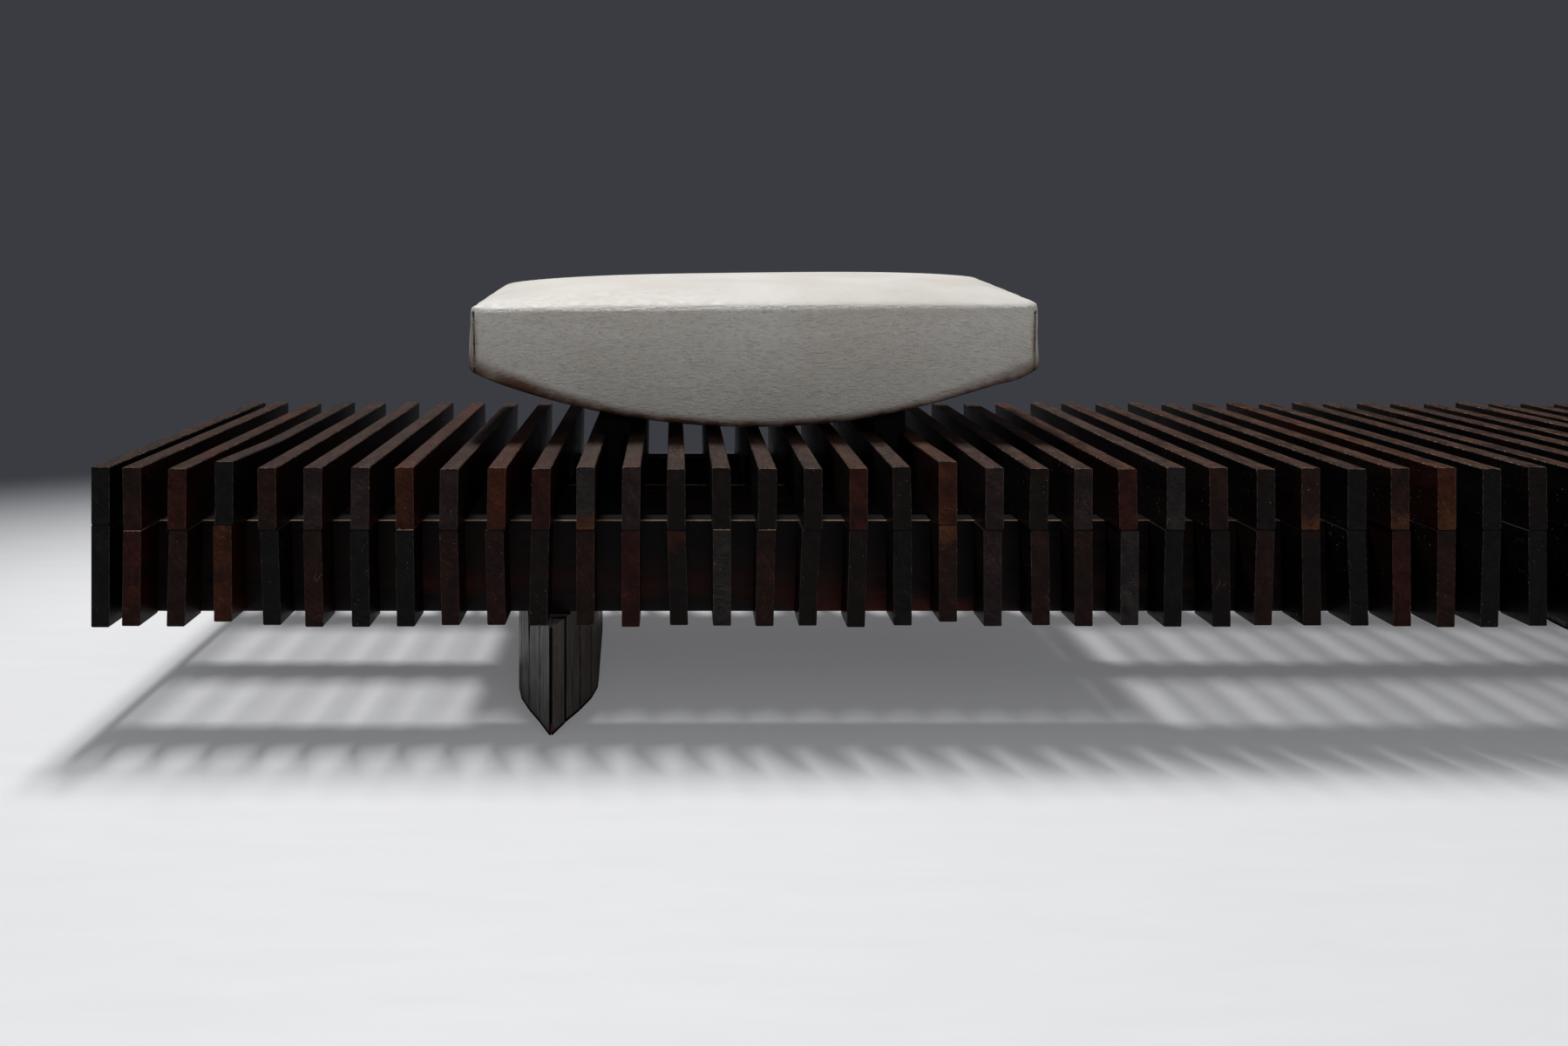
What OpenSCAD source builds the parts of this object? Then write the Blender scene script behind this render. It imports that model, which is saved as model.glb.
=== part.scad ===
// Long slatted bench: slats of two boards on three long beams, boat-shaped
// pedestals built from staves, and a loose boat-shaped seat whose two runners
// drop into the gaps between the slats.
// X runs along the bench, -Y is the front, Z is up, and Z = 0 is the floor.

/* [Slats] */
// Number of slats
slat_count = 50; // [30:1:50]
// Length of a slat, from front to back
slat_len = 600; // [480:5:760]
// Thickness of every board, along the bench
board_t = 20; // [16:0.5:24]
// Distance between neighbouring slats, centre to centre
slat_pitch = 50; // [46:1:64]
// Distance from an end slat to the next one, centre to centre
end_pitch = 35; // [32:1:60]
// Height of the upper boards
upper_h = 70; // [50:1:90]
// Height of the lower boards, which start where the upper ones end
lower_h = 107; // [92:1:112]
// Bevel worn on the long edges of a board
board_ease = 1; // [0.4:0.1:2]
// How far a board made by hand strays sideways from its place
hand_sway = 1.5; // [0:0.1:2]
// How much shorter than the rest a board made by hand can be
hand_short = 2.5; // [0:0.1:4]
// How far a short lower board can lean sideways at its foot
hand_lean = 4; // [0:0.1:5]
// How much higher the front end of a warped slat is
warp_h = 6; // [0.5:0.5:8]
// Length of the part of a slat that has warped
warp_len = 200; // [160:5:230]
// How much higher the joint between the boards of an end slat is
end_joint_up = 6; // [0:0.5:10]

/* [Beams] */
// Thickness of a beam, from front to back
beam_t = 33; // [26:1:44]
// Height of a beam
beam_h = 104; // [80:1:130]
// Distance from the slat ends to the outer beams
beam_inset = 55; // [40:1:90]
// Bevel on the long edges of a beam
beam_ease = 1.5; // [0.5:0.1:3]

/* [Pedestals] */
// Height of a pedestal, from the floor to the beams
leg_h = 122; // [100:1:180]
// Distance from the end of the bench to the middle of a pedestal
leg_inset = 498; // [300:1:560]
// Turn of a pedestal in plan, in degrees; its front tip goes to the right
leg_turn = 1.7; // [0:0.1:2.5]
// Width of a pedestal at its belly
belly_w = 97; // [70:1:130]
// Width of the flat left on a pedestal's nose
nose_w = 3.5; // [2:0.1:8]
// Length of the nose, from its tip to the full width
nose_run = 180; // [120:1:230]
// Width of one stave, along the pedestal
stave_w = 42; // [30:1:60]
// Open joint between neighbouring staves
stave_gap = 0.5; // [0.2:0.05:0.8]
// Width of the one joint that has opened over its full height
split_gap = 1.5; // [0.5:0.1:2.5]
// Width, at its top, of the one joint that has opened like a wedge
wedge_gap = 3.5; // [1:0.1:5]
// Depth of the wedge below the top of the pedestal
wedge_h = 88; // [40:1:110]
// Bevel on the outer edges of a stave
stave_ease = 1.2; // [0.5:0.1:2]

/* [Seat] */
// Number of slats to the left of the left runner
left_count = 12; // [9:1:14]
// Number of slats between the two runners
seat_count = 7; // [5:1:8]
// Width of the seat
seat_w = 721; // [640:1:800]
// Depth of the seat
seat_d = 365; // [300:1:420]
// Space between the slats and the lowest point of the seat
seat_space = 14.5; // [12:0.5:30]
// Rise of the curved underside, from its middle to its ends
seat_sag = 69; // [40:1:90]
// Height of the seat's end faces
end_h = 81; // [60:1:110]
// Rise of the seat from its front edge to its rear edge
seat_rise = 20; // [0:1:30]
// Rise of the cushion's crown above its edges
crown_h = 26; // [15:1:45]
// Radius of the cushion's rolled edges
roll_r = 13; // [6:0.5:14]
// How far the cushion's faces are drawn in at half their height
draw_in = 4; // [1:0.5:6]
// Width of the cushion's rim around the base
rim_w = 14; // [10:0.5:20]
// Thickness of the curved base board
base_t = 18; // [12:0.5:24]
// How far a runner's head rests on the slat at each side
head_rest = 5; // [4.5:0.5:9]
// Space between a runner's tongue and the slat at each side
tongue_side = 4.5; // [2:0.5:6]
// Space between a runner's tongue and the beams under it
tongue_under = 4; // [2:1:30]
// How far the left runner sits to the left of its gap's middle
left_shift = 3; // [0:0.5:3]
// Distance from the seat's front to a runner
runner_inset = 23; // [15:1:40]
// Thickness of a runner's tenons
tenon_t = 16; // [10:1:20]
// Length of a runner's tenons
tenon_len = 60; // [40:1:80]

/* [Dowels] */
// Diameter of a dowel
dowel_d = 8; // [6:0.5:9]
// Length of a dowel
dowel_len = 50; // [36:1:60]
// Depth that a dowel reaches into an end board's face
face_peg = 13; // [9:0.5:13]
// Space around a dowel
dowel_fit = 0.05; // [0.02:0.01:0.1]

/* [Hidden] */
// Space between pieces that are glued or rest along a curve
snug = 0.1;
// Space between the soft cushion and the board in it
soft_gap = 0.3;
// Space left at each end of a dowel
dowel_end = 1;
// How far a cutting shape runs past what it cuts
past = 1;
// Share of a lower board's lean that the upper boards have
upper_lean = 0.35;
// The first joint on a pedestal's left side, in staves behind the tip; it is 1 on the right
left_stagger = 1.05;
// Least length of a pedestal's last stave, as a share of the others
last_stave = 1 / 3;
// Depth of the wedge-shaped opening, as a share of the pedestal's width
wedge_share = 0.75;
// Heights of a beam's end dowels, and the place of a pedestal's dowels, as shares
end_peg_shares = [0.25, 0.625];
leg_peg_share = 1 / 8;
// Seeds of the small differences between boards
sway_seed = 11;
short_seed = 23;
shift_seed = 37;
lean_seed = 41;
tone_seed = 5;
// Sides of the large circles of the seat
wide_fn = 360;
// Sides of the dowels
dowel_fn = 24;

// Heights
beam_bottom = leg_h;
beam_top = beam_bottom + beam_h;
slat_top = beam_top + upper_h;
slat_bottom = beam_top - lower_h;
// The ends of the pedestals step down where they pass under the lower boards
nose_top = min(beam_bottom, slat_bottom);

// Lengths along X and Y
bench_len = 2 * end_pitch + (slat_count - 3) * slat_pitch + board_t;
front_y = -slat_len / 2;
beam_ys = [front_y + beam_inset + beam_t / 2, 0, -front_y - beam_inset - beam_t / 2];
block_len = beam_inset;
beam_len = bench_len - 2 * board_t;
leg_x = bench_len / 2 - leg_inset;
leg_peg_x = belly_w * leg_peg_share;
// Place of a pedestal's right or left dowel in the beam at y, from the pedestal's middle
function leg_peg_at(y, side) = side * leg_peg_x - y * tan(leg_turn);
// The staves at the tips are this much narrower than the rest
tip_trim = 3;
// How soon the nose swells: above 1 it starts slender
nose_swell = 1.15;

// Middle of slat i, counted from 1 at the left end
function slat_x(i) =
    i == 1 ? -bench_len / 2 + board_t / 2 :
    i == slat_count ? bench_len / 2 - board_t / 2 :
    -bench_len / 2 + board_t / 2 + end_pitch + (i - 2) * slat_pitch;
function gap_x(i) = (slat_x(i) + slat_x(i + 1)) / 2;

// The slats beside the runners are true, and so are the end boards
runner_gaps = [left_count, left_count + seat_count];
function is_true(i) =
    i == 1 || i == slat_count || len([for (g = runner_gaps) if (i == g || i == g + 1) g]) > 0;
function stray(list, i) = is_true(i) ? 0 : list[i - 1];
sways = rands(-hand_sway, hand_sway, slat_count, sway_seed);
uppers = rands(0, hand_short, slat_count, short_seed);
shifts = rands(-hand_sway, hand_sway, slat_count, shift_seed);
leans = rands(-hand_lean, hand_lean, slat_count, lean_seed);
tones = rands(0, 1, slat_count, tone_seed);
// Slats whose front end has warped upwards
warped_slats = [4, 20];
warp_angle = atan(warp_h / warp_len);
function is_warped(i) = len([for (k = warped_slats) if (k == i) k]) > 0;
function upper_x(i) = slat_x(i) + stray(sways, i);
function upper_top(i) = slat_top - (is_warped(i) ? 0 : stray(uppers, i));
function block_x(i) = slat_x(i) + stray(shifts, i);
// How much higher the short board under one end of slat i is
function block_up(i, side) = side < 0 && is_warped(i) ? warp_h : 0;
function block_bottom(i) = slat_bottom + (is_warped(i) ? 0 : stray(uppers, slat_count + 1 - i));
end_joint_z = beam_top + end_joint_up;

// Seat
seat_x = (gap_x(runner_gaps[0]) + gap_x(runner_gaps[1])) / 2;
seat_y = -front_y - seat_d / 2;
seat_low = slat_top + seat_space;
seat_edge = seat_low + seat_sag + end_h;
under_r = (pow(seat_w / 2, 2) + pow(seat_sag, 2)) / (2 * seat_sag);
under_z = seat_low + under_r;
// The base lies a little above the cushion's rim
base_up = 2;
base_low_r = under_r - base_up;
base_top_r = base_low_r - base_t;
runner_len = seat_d - 2 * runner_inset;
gap_w = slat_pitch - board_t;
head_w = gap_w + 2 * head_rest;
tongue_t = gap_w - 2 * tongue_side;
tongue_h = upper_h - tongue_under;
// Middle of the left and the right runner, from the seat's middle
function runner_x(side) = side * seat_count * slat_pitch / 2 - (side < 0 ? left_shift : 0);
tenon_y = runner_len / 4;
// Stations along the cushion and points across its top and its faces
cushion_steps = 22;
top_steps = 12;
face_steps = 4;
// How square the crown is: higher values give a flatter top with fuller edges
crown_power = 3.2;
crown_fall = 0.6;

dark_tones = ["#241713", "#33201a", "#40271e", "#2b1b17", "#4a2c20"];
light_tones = ["#7a4b30", "#6a3d28"];
beam_tone = "#2c1c17";
ebony_tone = "#1b1a1b";
cream_tone = "#d8d3c9";
ply_tone = "#8d7353";
dowel_tone = "#c9a97c";
// Slats cut from lighter wood
light_slats = [8, 10, 20, 34];
function tone(i) =
    len([for (k = light_slats) if (k == i) k]) > 0 ? light_tones[i % 2]
    : dark_tones[floor(tones[i - 1] * len(dark_tones))];

function two_digits(i) = str(i < 10 ? "0" : "", i);
function slat_name(i) = str("slat_", two_digits(i));

// Section of a board standing on its edge, with its four corners bevelled; its foot
// and its top can stand off to the side, which makes it lean
function board_section(t, h, ease, foot = 0, top = 0) = [
    [foot - t / 2 + ease, 0], [foot + t / 2 - ease, 0],
    [foot + t / 2, ease], [top + t / 2, h - ease],
    [top + t / 2 - ease, h], [top - t / 2 + ease, h],
    [top - t / 2, h - ease], [foot - t / 2, ease]];

module board(t, h, depth, ease, foot = 0, top = 0) {
    rotate([90, 0, 0])
        linear_extrude(depth, center = true)
            polygon(board_section(t, h, ease, foot, top));
}

// A dowel, or its hole where the fit is above 0, standing on its lower end
module peg(depth, fit = 0) {
    cylinder(d = dowel_d + 2 * fit, h = depth, $fn = dowel_fn);
}

// Holes from below into an upper board, one above each beam
module upper_holes() {
    for (y = beam_ys)
        translate([0, y, -past])
            peg(past + dowel_len / 2 + dowel_end, dowel_fit);
}

// An upper board, standing on its underside
module upper_board(h, top = 0) {
    difference() {
        board(board_t, h, slat_len, board_ease, 0, top);
        upper_holes();
    }
}

// An upper board whose front part has warped upwards, in one straight slope: it has
// sections at its rear end, at the bend and at its front end
module warped_board(h) {
    ends = [[-front_y, 0], [front_y + warp_len, 0], [front_y, warp_h]];
    section = board_section(board_t, h, board_ease);
    n = len(section);
    points = [for (end = ends, p = section) [p[0], end[0], p[1] + end[1]]];
    sides = [
        for (k = [0:len(ends) - 2], j = [0:n - 1])
            let (a = k * n + j, b = k * n + (j + 1) % n)
            [a, a + n, b + n, b]];
    rear = [for (j = [0:n - 1]) j];
    front = [for (j = [n - 1:-1:0]) (len(ends) - 1) * n + j];
    difference() {
        polyhedron(points, concat(sides, [rear, front]));
        upper_holes();
    }
}

// The upper board of slat i
module slat(i) {
    h = upper_top(i) - beam_top;
    color(tone(i))
        translate([upper_x(i), 0, beam_top])
            if (is_warped(i))
                warped_board(h);
            else
                upper_board(h, stray(leans, slat_count + 1 - i) * upper_lean);
}

// Heights of the two dowels that hold each end of a beam
end_peg_zs = [for (share = end_peg_shares) beam_bottom + beam_h * share];

// The lower end board is full length and takes the ends of the beams
module end_lower_board() {
    difference() {
        translate([0, 0, slat_bottom])
            board(board_t, end_joint_z - slat_bottom - snug, slat_len, board_ease);
        for (y = beam_ys) {
            translate([0, y, end_joint_z - dowel_len / 2 - dowel_end])
                peg(dowel_len / 2 + dowel_end + past, dowel_fit);
            for (z = end_peg_zs)
                translate([board_t / 2 - face_peg - dowel_end, y, z])
                    rotate([0, 90, 0])
                        peg(face_peg + dowel_end + past, dowel_fit);
        }
    }
}

// The same end board at both ends of the bench
module at_both_ends(z) {
    for (side = [0, 1])
        mirror([side, 0, 0])
            translate([slat_x(1), 0, z])
                children();
}

module end_upper_boards() {
    color(dark_tones[0])
        at_both_ends(end_joint_z)
            upper_board(slat_top - end_joint_z);
}

module end_lower_boards() {
    color(dark_tones[3])
        at_both_ends(0)
            end_lower_board();
}

// Everything above the sloping underside of a warped slat
module above_warp() {
    translate([0, front_y + warp_len, beam_top - snug])
        rotate([-warp_angle, 0, 0])
            translate([-board_t, -slat_len, 0])
                cube([2 * board_t, slat_len, upper_h]);
}

function block_h(i) = beam_top - block_bottom(i);

// Short lower boards, glued under the upper ones and against the outer beams
module lower_blocks() {
    for (i = [2:slat_count - 1], side = [-1, 1])
        color(tone(slat_count + 1 - i))
            translate([block_x(i), 0, 0])
                difference() {
                    translate([0, side * (-front_y - block_len / 2), block_bottom(i) + block_up(i, side)])
                        board(board_t, block_h(i), block_len, board_ease, stray(leans, i));
                    if (block_up(i, side) > 0)
                        above_warp();
                }
}

module beam(y) {
    color(beam_tone)
        difference() {
            translate([0, y, beam_bottom])
                rotate([0, 0, 90])
                    board(beam_t, beam_h, beam_len, beam_ease);
            for (i = [2:slat_count - 1])
                translate([upper_x(i), y, beam_top - dowel_len / 2 - dowel_end])
                    peg(dowel_len / 2 + dowel_end + past, dowel_fit);
            for (side = [-1, 1], z = end_peg_zs)
                translate([side * (beam_len / 2 + past), y, z])
                    rotate([0, -90 * side, 0])
                        peg(past + dowel_len - face_peg + dowel_end, dowel_fit);
            for (side = [-1, 1], peg_side = [-1, 1])
                translate([side * leg_x + leg_peg_at(y, peg_side), y, beam_bottom - past])
                    peg(past + dowel_len / 2 + dowel_end, dowel_fit);
        }
}

module front_beam() beam(beam_ys[0]);
module middle_beam() beam(beam_ys[1]);
module rear_beam() beam(beam_ys[2]);

// Half the width of a pedestal at a distance t behind the nearer tip
function leg_half(t) =
    t >= nose_run ? belly_w / 2 :
    nose_w / 2 + (belly_w - nose_w) / 2 * sin(90 * pow(t / nose_run, nose_swell));
function leg_half_at(t) = leg_half(min(t, slat_len - t));

// Joints between the staves of one side, with the first at t = first
function stave_cuts(first) = concat(
    [0], [for (t = first; t < slat_len - stave_w * last_stave; t = t + stave_w) t], [slat_len]);

// One stave between two joints; its outer corners are bevelled
module stave(t0, t1, gap0) {
    a = t0 + (t0 > 0 ? gap0 - stave_gap / 2 : 0);
    b = t1 - (t1 < slat_len ? stave_gap / 2 : 0);
    ea = t0 > 0 ? stave_ease : 0;
    eb = t1 < slat_len ? stave_ease : 0;
    inner = stave_gap / 2;
    linear_extrude(beam_bottom)
        polygon([
            [inner, a], [leg_half_at(t0) - ea, a], [leg_half_at(t0 + ea), a + ea],
            [leg_half_at(t1 - eb), b - eb], [leg_half_at(t1) - eb, b], [inner, b]]);
}

// Wedge-shaped opening of a joint at a distance t behind the tip
module wedge(t) {
    translate([belly_w, t, beam_bottom])
        rotate([0, -90, 0])
            linear_extrude(belly_w * wedge_share)
                polygon([[past, -stave_gap], [past, wedge_gap], [-wedge_h, 0], [-wedge_h, -stave_gap]]);
}

// Staves in two rows, right and left of the middle, with staggered joints.
// In front, the first joint on the right has opened, and the second on the left.
module pedestal() {
    color(ebony_tone)
        for (side = [0, 1]) {
            cuts = stave_cuts(stave_w * (side == 0 ? 1 : left_stagger) - tip_trim);
            for (k = [0:len(cuts) - 2])
                difference() {
                    rotate([0, 0, leg_turn])
                        translate([0, front_y, 0])
                            mirror([side, 0, 0])
                                difference() {
                                    stave(cuts[k], cuts[k + 1], side == 0 && k == 1 ? split_gap : stave_gap);
                                    if (side == 1 && k == 2)
                                        wedge(cuts[k]);
                                }
                    for (end = [0, 1])
                        mirror([0, end, 0])
                            translate([-belly_w, front_y - past, nose_top])
                                cube([2 * belly_w, past + block_len + snug, leg_h]);
                    for (y = beam_ys, peg_side = [-1, 1])
                        translate([leg_peg_at(y, peg_side), y, beam_bottom - dowel_len / 2 - dowel_end])
                            peg(dowel_len / 2 + dowel_end + past, dowel_fit);
                }
        }
}

module left_pedestal() translate([-leg_x, 0, 0]) pedestal();
module right_pedestal() translate([leg_x, 0, 0]) pedestal();

// Lower end of a dowel under slat i
function slat_peg_z(i) = (i == 1 || i == slat_count ? end_joint_z : beam_top) - dowel_len / 2;

module dowels() {
    color(dowel_tone)
        for (y = beam_ys) {
            for (i = [1:slat_count])
                translate([upper_x(i), y, slat_peg_z(i)])
                    peg(dowel_len);
            for (side = [-1, 1], z = end_peg_zs)
                translate([side * (beam_len / 2 + face_peg), y, z])
                    rotate([0, -90 * side, 0])
                        peg(dowel_len);
            for (side = [-1, 1], peg_side = [-1, 1])
                translate([side * leg_x + leg_peg_at(y, peg_side), y, beam_bottom - dowel_len / 2])
                    peg(dowel_len);
        }
}

// Everything above one of the seat's curved surfaces
module above_curve(r) {
    translate([0, 0, under_z])
        rotate([90, 0, 0])
            cylinder(r = r, h = seat_d + 2 * past, center = true, $fn = wide_fn);
}

// A block as wide and deep as the base board, grown by a space on each side
module base_block(space) {
    w = seat_w - 2 * rim_w + 2 * space;
    d = seat_d - 2 * rim_w + 2 * space;
    translate([-w / 2, -d / 2, seat_low - past])
        cube([w, d, past + seat_sag + base_up + base_t + end_h / 2]);
}

module seat_base() {
    color(ply_tone)
        translate([seat_x, seat_y, 0])
            difference() {
                intersection() {
                    base_block(0);
                    above_curve(base_low_r);
                }
                above_curve(base_top_r);
                for (side = [-1, 1], end = [-1, 1])
                    translate([runner_x(side), end * tenon_y, seat_low + seat_sag / 2])
                        mortise();
            }
}

// Hole for a tenon, through the base board
module mortise() {
    cube([tenon_t + 2 * snug, tenon_len + 2 * snug, seat_sag + 2 * base_t], center = true);
}

// T-shaped runner: the head rests on two slats, the tongue hangs between them
// and two tenons pass through the base board. It stands x from the seat's middle.
module runner(x) {
    head_h = seat_space + seat_sag;
    difference() {
        translate([-head_w / 2, -runner_len / 2, slat_top])
            cube([head_w, runner_len, head_h]);
        translate([-x, 0, 0])
            above_curve(base_low_r + snug);
    }
    translate([-tongue_t / 2, -runner_len / 2, slat_top - tongue_h])
        cube([tongue_t, runner_len, tongue_h + seat_space / 2]);
    for (end = [-1, 1])
        difference() {
            translate([-tenon_t / 2, end * tenon_y - tenon_len / 2, slat_top])
                cube([tenon_t, tenon_len, head_h + base_t]);
            translate([-x, 0, 0])
                above_curve(base_top_r);
        }
}

module seat_runners() {
    color(ebony_tone)
        for (side = [-1, 1])
            translate([seat_x + runner_x(side), seat_y, 0])
                runner(runner_x(side));
}

// Height of the curved underside at a distance x from the seat's middle
function under_at(x) = under_z - sqrt(pow(under_r, 2) - pow(x, 2));
// How far the rolled edge at the ends has drawn the section in
function roll_at(x) =
    let (over = abs(x) - (seat_w / 2 - roll_r))
    over <= 0 ? 0 : roll_r - sqrt(max(0, pow(roll_r, 2) - pow(over, 2)));
// Rise of the crown at shares u and v of the half width and half depth
function crown_at(u, v) =
    crown_h * pow(max(0, (1 - pow(abs(u), crown_power)) * (1 - pow(abs(v), crown_power))), crown_fall);
// Stations along the cushion, closer together towards the rolled ends
function station(k) = seat_w / 2 * sin(90 * (2 * k / cushion_steps - 1));

// One closed section of the cushion: underside, rear, crowned top, front
function section(x) =
    let (q = roll_at(x), half = seat_d / 2 - q, low = under_at(x) + q / 2, foot = low + roll_r / 2,
         front_high = seat_edge - q - roll_r / 2, rear_high = front_high + seat_rise,
         u = x / (seat_w / 2))
    concat(
        [[x, -half + roll_r, low], [x, half - roll_r, low]],
        [for (k = [0:face_steps])
            let (f = k / face_steps)
            [x, half - draw_in * sin(180 * f), foot + (rear_high - foot) * f]],
        [for (k = [0:top_steps])
            let (v = cos(180 * k / top_steps))
            [x, (half - roll_r / 3) * v, seat_edge - q + seat_rise * (v + 1) / 2 + crown_at(u, v)]],
        [for (k = [face_steps:-1:0])
            let (f = k / face_steps)
            [x, -half + draw_in * sin(180 * f), foot + (front_high - foot) * f]]);

module cushion_form() {
    rings = [for (k = [0:cushion_steps]) section(station(k))];
    n = len(rings[0]);
    points = [for (ring = rings, p = ring) p];
    skin = [
        for (k = [0:cushion_steps - 1], j = [0:n - 1])
            let (a = k * n + j, b = k * n + (j + 1) % n)
            each [[a, a + n, b], [b, a + n, b + n]]];
    first_cap = [for (j = [0:n - 1]) j];
    last_cap = [for (j = [n - 1:-1:0]) cushion_steps * n + j];
    polyhedron(points, concat(skin, [first_cap, last_cap]));
}

module seat_cushion() {
    color(cream_tone)
        translate([seat_x, seat_y, 0])
            difference() {
                cushion_form();
                difference() {
                    base_block(soft_gap);
                    above_curve(base_top_r - soft_gap);
                }
            }
}

for (i = [2:slat_count - 1])
    slat(i);
end_upper_boards();
end_lower_boards();
lower_blocks();
front_beam();
middle_beam();
rear_beam();
left_pedestal();
right_pedestal();
dowels();
seat_cushion();
seat_base();
seat_runners();
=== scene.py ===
"""Looks of the slatted bench: its woods, its leatherette seat, the light and the camera."""
import math
import random

import bmesh
import bpy
import numpy as np
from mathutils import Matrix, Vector


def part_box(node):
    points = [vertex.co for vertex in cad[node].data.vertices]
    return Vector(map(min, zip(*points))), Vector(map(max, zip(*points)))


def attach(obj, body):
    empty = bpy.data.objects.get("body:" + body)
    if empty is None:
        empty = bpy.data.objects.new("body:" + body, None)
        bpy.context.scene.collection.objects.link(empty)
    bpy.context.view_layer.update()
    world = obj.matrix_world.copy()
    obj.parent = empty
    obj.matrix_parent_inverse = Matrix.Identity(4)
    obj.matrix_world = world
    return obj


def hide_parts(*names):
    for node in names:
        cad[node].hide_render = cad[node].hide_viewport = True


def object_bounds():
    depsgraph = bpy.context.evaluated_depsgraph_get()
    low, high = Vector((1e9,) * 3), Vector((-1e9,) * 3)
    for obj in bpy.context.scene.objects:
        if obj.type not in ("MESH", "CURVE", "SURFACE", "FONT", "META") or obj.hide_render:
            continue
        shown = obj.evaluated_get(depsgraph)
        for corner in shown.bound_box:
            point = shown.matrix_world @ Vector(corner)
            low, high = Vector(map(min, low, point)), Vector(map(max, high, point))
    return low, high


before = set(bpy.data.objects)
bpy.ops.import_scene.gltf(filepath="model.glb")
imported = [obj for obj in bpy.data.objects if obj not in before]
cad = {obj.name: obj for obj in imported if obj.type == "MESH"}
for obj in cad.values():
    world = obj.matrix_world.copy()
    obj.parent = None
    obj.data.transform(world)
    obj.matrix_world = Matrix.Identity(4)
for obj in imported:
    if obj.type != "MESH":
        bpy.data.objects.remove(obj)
cad_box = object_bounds()

MM = 0.001

# Sizes that the marks and the paint follow, from the frame or as in the part's source
BENCH_LEFT = cad_box[0].x
BEAM_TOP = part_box("front_beam")[1].z
PEDESTAL_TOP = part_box("left_pedestal")[1].z
SLAT_COUNT = 50
BOARD_T = 20 * MM
PITCH = 50 * MM
END_PITCH = 35 * MM
PEDESTAL_X = 722 * MM
PEDESTAL_REACH = 300 * MM
PEDESTAL_TURN = math.radians(1.7)
STAVE = 42 * MM
FIRST_JOINT = STAVE - 3 * MM
LEFT_STAGGER = 0.05 * STAVE


# Node drawing

def shade(red, green, blue):
    """A colour as the eye reads it, 0 to 255, in the linear values that a shader takes."""
    def linear(c):
        c /= 255
        return c / 12.92 if c <= 0.04045 else ((c + 0.055) / 1.055) ** 2.4
    return (linear(red), linear(green), linear(blue), 1)


def put(tree, kind, feeds=None, out=0, **options):
    """Adds a node with its options, feeds its inputs, and gives back one of its outputs."""
    made = tree.nodes.new("ShaderNode" + kind)
    for option, value in options.items():
        setattr(made, option, value)
    for label, value in (feeds or {}).items():
        if isinstance(value, bpy.types.NodeSocket):
            tree.links.new(value, made.inputs[label])
        else:
            made.inputs[label].default_value = value
    return made.outputs[out]


def reckon(tree, operation, *values, clamp=False):
    return put(tree, "Math", dict(enumerate(values)), operation=operation, use_clamp=clamp)


def times(tree, first, second, clamp=False):
    return reckon(tree, "MULTIPLY", first, second, clamp=clamp)


def plus(tree, first, second):
    return reckon(tree, "ADD", first, second)


def minus(tree, first, second):
    return reckon(tree, "SUBTRACT", first, second)


def unsigned(tree, value):
    return reckon(tree, "ABSOLUTE", value)


def apart(tree, first, second):
    """How far two values are from each other."""
    return unsigned(tree, minus(tree, first, second))


def eased(tree, value, start, end, low=0.0, high=1.0):
    """Goes smoothly from low to high while the value goes from start to end."""
    feeds = {"Value": value, "From Min": start, "From Max": end, "To Min": low, "To Max": high}
    return put(tree, "MapRange", feeds, interpolation_type="SMOOTHSTEP")


def fading(tree, value, start, end):
    """Eased from 1 to 0."""
    return eased(tree, value, start, end, 1, 0)


def mixed(tree, share, first, second, way="MIX"):
    feeds = {0: share, 6: first, 7: second}
    return put(tree, "Mix", feeds, out=2, data_type="RGBA", blend_type=way, clamp_factor=True)


def reckon_vector(tree, operation, *values, out=0):
    return put(tree, "VectorMath", dict(enumerate(values)), out=out, operation=operation)


def stretched(tree, vector, x, y, z):
    return reckon_vector(tree, "MULTIPLY", vector, (x, y, z))


def parts(tree, vector):
    """The three parts of a vector."""
    split = put(tree, "SeparateXYZ", {0: vector}).node.outputs
    return split[0], split[1], split[2]


def where(tree):
    """The point's place on the object."""
    return put(tree, "TexCoord", out="Object")


def facing(tree):
    """The three parts of the direction that the face looks in."""
    return parts(tree, put(tree, "NewGeometry", out="True Normal"))


def marked(tree, name, out="Fac"):
    """What mark_places has stored on the piece under this name."""
    return put(tree, "Attribute", out=out, attribute_name=name)


def cloud(tree, place, scale, detail=3.0, rough=0.55, warp=0.0):
    feeds = {"Vector": place, "Scale": scale, "Detail": detail, "Roughness": rough, "Distortion": warp}
    return put(tree, "TexNoise", feeds)


def drift(tree, scale, detail, length, **place):
    """A short step that changes slowly from place to place."""
    noise = put(tree, "TexNoise", {"Scale": scale, "Detail": detail, **place}, out="Color")
    return stretched(tree, reckon_vector(tree, "SUBTRACT", noise, (0.5,) * 3), *(length,) * 3)


def raised(tree, height, strength, distance):
    """The normal of a surface with this relief on it."""
    return put(tree, "Bump", {"Strength": strength, "Distance": distance, "Height": height})


def effect(name, takes, gives):
    """A node group with named inputs and outputs: the tree, and the sockets at both of its ends."""
    tree = bpy.data.node_groups.new(name, "ShaderNodeTree")
    for label, kind, value in takes:
        socket = tree.interface.new_socket(label, in_out="INPUT", socket_type="NodeSocket" + kind)
        socket.default_value = value
    for label in gives:
        tree.interface.new_socket(label, in_out="OUTPUT", socket_type="NodeSocketFloat")
    return tree, tree.nodes.new("NodeGroupInput").outputs, tree.nodes.new("NodeGroupOutput").inputs


def use(tree, group, **values):
    """Places an effect in a material with the material's own values, and gives back its outputs."""
    return put(tree, "Group", values, node_tree=group).node.outputs


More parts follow.
